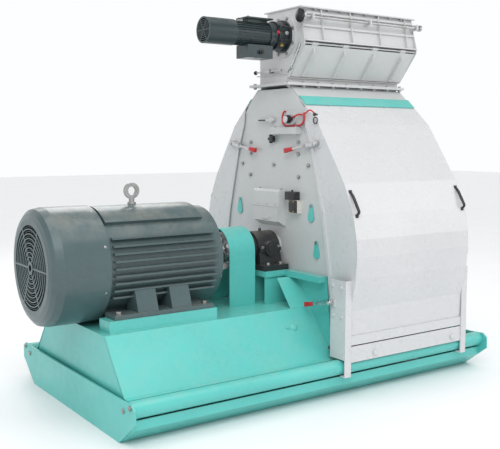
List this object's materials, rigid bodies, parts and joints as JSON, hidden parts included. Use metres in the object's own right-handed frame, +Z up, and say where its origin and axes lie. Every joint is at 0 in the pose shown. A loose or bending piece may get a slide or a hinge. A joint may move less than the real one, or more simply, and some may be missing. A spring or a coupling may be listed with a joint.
{
  "type": "hammer mill",
  "caption": "Electric hammer mill on a skid: motor and coupling drive a rotor of swinging hammers inside screens, with a roll feeder on top and sliding side doors.",
  "frame": {"origin": "centre of the anchor hole pattern in the skid, on the floor", "axes": "+X from the motor towards the mill, +Y to the back, +Z up"},
  "size_m": [2.826, 1.6296, 2.32],
  "materials": {
    "teal_paint": "semi-gloss teal enamel",
    "white_paint": "gloss off-white enamel",
    "grey_paint": "satin light grey enamel",
    "motor_paint": "semi-gloss dark grey-green enamel over casting",
    "gear_paint": "semi-gloss near-black green enamel",
    "black_casting": "satin black paint over cast iron",
    "black_plastic": "satin black plastic",
    "chrome": "bright zinc plate",
    "shaft_steel": "turned steel",
    "wear_steel": "rolled wear steel",
    "bolt_steel": "zinc-plated bolts",
    "copper_core": "laminations and varnished windings"
  },
  "bodies": {
    "frame": {"skid_frame": "teal_paint", "rail_pipes": "teal_paint", "base_box": "teal_paint", "bearing_pedestals": "teal_paint", "motor_frame": "motor_paint", "motor_end_shields": "motor_paint", "fan_cowl": "motor_paint", "stator_core": "copper_core", "coupling_guard": "teal_paint", "bearing_housings": "black_casting", "mill_end_plates": "grey_paint", "mill_roof": "grey_paint", "door_guides": "teal_paint", "screens": "wear_steel", "screen_frames": "wear_steel", "wear_liners": "wear_steel", "discharge_hopper": "wear_steel", "liner_bolts": "bolt_steel", "frame_bolts": "bolt_steel", "plate_brackets": "grey_paint", "switch_body": "grey_paint", "feeder_casing": "grey_paint", "reducer_housing": "gear_paint", "feeder_motor": "gear_paint"},
    "rotor": {"mill_shaft": "shaft_steel", "rotor_discs": "wear_steel", "hammer_pins": "shaft_steel", "motor_rotor": "shaft_steel", "cooling_fan": "black_plastic", "coupling_halves": "shaft_steel"},
    "hammers_1": {"hammer_row_1": "wear_steel"},
    "hammers_2": {"hammer_row_2": "wear_steel"},
    "hammers_3": {"hammer_row_3": "wear_steel"},
    "hammers_4": {"hammer_row_4": "wear_steel"},
    "front_door": {"front_door_shell": "white_paint", "front_door_frame": "white_paint", "front_door_handles": "black_plastic"},
    "front_near_wheel": {"front_near_roller": "shaft_steel"},
    "front_far_wheel": {"front_far_roller": "shaft_steel"},
    "back_door": {"back_door_shell": "white_paint", "back_door_frame": "white_paint", "back_door_handles": "black_plastic"},
    "back_near_wheel": {"back_near_roller": "shaft_steel"},
    "back_far_wheel": {"back_far_roller": "shaft_steel"},
    "front_upper_lever": {"front_upper_clamp": "chrome"},
    "front_lower_lever": {"front_lower_clamp": "chrome"},
    "back_upper_lever": {"back_upper_clamp": "chrome"},
    "magnet_flap": {"magnet_door": "grey_paint"},
    "roll": {"feed_roll": "shaft_steel"},
    "gearmotor_rotor": {"feeder_fan": "black_plastic"},
    "gate": {"gate_shaft": "shaft_steel"},
    "damper": {"neck_flap": "shaft_steel"},
    "diverter": {"diverter_flap": "shaft_steel"},
    "lock_knob": {"flap_lock_knob": "black_plastic"},
    "lid": {"inspection_lid": "grey_paint"},
    "plunger": {"switch_plunger": "black_plastic"},
    "pull_pin": {"lock_pin": "shaft_steel"},
    "cover_front": {"pin_cover_front": "teal_paint"},
    "cover_back": {"pin_cover_back": "teal_paint"},
    "cover_side": {"pin_cover_side": "teal_paint"}
  },
  "joints": [
    {"name": "rotor_spin", "type": "hinge", "parent": "frame", "child": "rotor", "pos_m": [0, 0, 0.826], "axis": [1, 0, 0], "continuous": true},
    {"name": "hammer_swing_1", "type": "hinge", "parent": "rotor", "child": "hammers_1", "pos_m": [0.58, 0.38105, 1.046], "axis": [1, 0, 0], "continuous": true},
    {"name": "hammer_swing_2", "type": "hinge", "parent": "rotor", "child": "hammers_2", "pos_m": [0.58, -0.22, 1.20705], "axis": [1, 0, 0], "continuous": true},
    {"name": "hammer_swing_3", "type": "hinge", "parent": "rotor", "child": "hammers_3", "pos_m": [0.58, -0.38105, 0.606], "axis": [1, 0, 0], "continuous": true},
    {"name": "hammer_swing_4", "type": "hinge", "parent": "rotor", "child": "hammers_4", "pos_m": [0.58, 0.22, 0.44495], "axis": [1, 0, 0], "continuous": true},
    {"name": "front_door_slide", "type": "slide", "parent": "frame", "child": "front_door", "axis": [1, 0, 0], "range_m": [-0.85, 0]},
    {"name": "front_near_wheel_roll", "type": "hinge", "parent": "front_door", "child": "front_near_wheel", "pos_m": [0.297, -0.704, 0.258], "axis": [0, 1, 0], "range_deg": [-2100, 20]},
    {"name": "front_far_wheel_roll", "type": "hinge", "parent": "front_door", "child": "front_far_wheel", "pos_m": [0.97, -0.704, 0.258], "axis": [0, 1, 0], "range_deg": [-2100, 20]},
    {"name": "back_door_slide", "type": "slide", "parent": "frame", "child": "back_door", "axis": [1, 0, 0], "range_m": [-0.85, 0]},
    {"name": "back_near_wheel_roll", "type": "hinge", "parent": "back_door", "child": "back_near_wheel", "pos_m": [0.297, 0.704, 0.258], "axis": [0, 1, 0], "range_deg": [-2100, 20]},
    {"name": "back_far_wheel_roll", "type": "hinge", "parent": "back_door", "child": "back_far_wheel", "pos_m": [0.97, 0.704, 0.258], "axis": [0, 1, 0], "range_deg": [-2100, 20]},
    {"name": "front_upper_clamp_throw", "type": "hinge", "parent": "front_door", "child": "front_upper_lever", "pos_m": [0.08, -0.452, 1.492], "axis": [1, 0, 0], "range_deg": [-75, 0]},
    {"name": "front_lower_clamp_throw", "type": "hinge", "parent": "front_door", "child": "front_lower_lever", "pos_m": [0.034, -0.652, 0.568], "axis": [1, 0, 0], "range_deg": [-75, 0]},
    {"name": "back_upper_clamp_throw", "type": "hinge", "parent": "back_door", "child": "back_upper_lever", "pos_m": [0.08, 0.452, 1.492], "axis": [1, 0, 0], "range_deg": [0, 75]},
    {"name": "magnet_door_hinge", "type": "hinge", "parent": "frame", "child": "magnet_flap", "pos_m": [0.58, -0.306, 2.098], "axis": [-1, 0, 0], "range_deg": [0, 100]},
    {"name": "feed_roll_spin", "type": "hinge", "parent": "frame", "child": "roll", "pos_m": [0.58, -0.11, 2.15], "axis": [1, 0, 0], "continuous": true},
    {"name": "gearmotor_spin", "type": "hinge", "parent": "frame", "child": "gearmotor_rotor", "pos_m": [-0.2, -0.11, 2.15], "axis": [1, 0, 0], "continuous": true},
    {"name": "gate_turn", "type": "hinge", "parent": "frame", "child": "gate", "pos_m": [0.58, -0.322, 2.255], "axis": [1, 0, 0], "range_deg": [0, 35]},
    {"name": "neck_damper_turn", "type": "hinge", "parent": "frame", "child": "damper", "pos_m": [0.58, 0, 1.945], "axis": [1, 0, 0], "range_deg": [-25, 25]},
    {"name": "diverter_turn", "type": "hinge", "parent": "frame", "child": "diverter", "pos_m": [0.58, 0, 1.64], "axis": [1, 0, 0], "range_deg": [-30, 30]},
    {"name": "lock_knob_turn", "type": "hinge", "parent": "frame", "child": "lock_knob", "pos_m": [0.085, -0.004, 1.52], "axis": [1, 0, 0], "range_deg": [-180, 180]},
    {"name": "inspection_lid_hinge", "type": "hinge", "parent": "frame", "child": "lid", "pos_m": [0.046, 0.01, 1.094], "axis": [0, 1, 0], "range_deg": [0, 95]},
    {"name": "switch_press", "type": "slide", "parent": "frame", "child": "plunger", "axis": [0, 0, -1], "range_m": [0, 0.004], "stiffness_N_per_m": 300, "springref_m": -0.002},
    {"name": "lock_pin_pull", "type": "slide", "parent": "frame", "child": "pull_pin", "axis": [-1, 0, 0], "range_m": [0, 0.045]},
    {"name": "cover_front_swing", "type": "hinge", "parent": "frame", "child": "cover_front", "pos_m": [0.104, -0.385, 1.112], "axis": [1, 0, 0], "range_deg": [-40, 60]},
    {"name": "cover_back_swing", "type": "hinge", "parent": "frame", "child": "cover_back", "pos_m": [0.104, 0.385, 1.112], "axis": [1, 0, 0], "range_deg": [-100, 40]},
    {"name": "cover_side_swing", "type": "hinge", "parent": "frame", "child": "cover_side", "pos_m": [0.104, -0.44, 0.892], "axis": [1, 0, 0], "range_deg": [-40, 100]}
  ],
  "couplings": [
    {"joint": "front_near_wheel_roll", "follows": "front_door_slide", "rad_per_m": 42.5},
    {"joint": "front_far_wheel_roll", "follows": "front_door_slide", "rad_per_m": 42.5},
    {"joint": "back_near_wheel_roll", "follows": "back_door_slide", "rad_per_m": 42.5},
    {"joint": "back_far_wheel_roll", "follows": "back_door_slide", "rad_per_m": 42.5},
    {"joint": "gearmotor_spin", "follows": "feed_roll_spin", "ratio": -8}
  ]
}
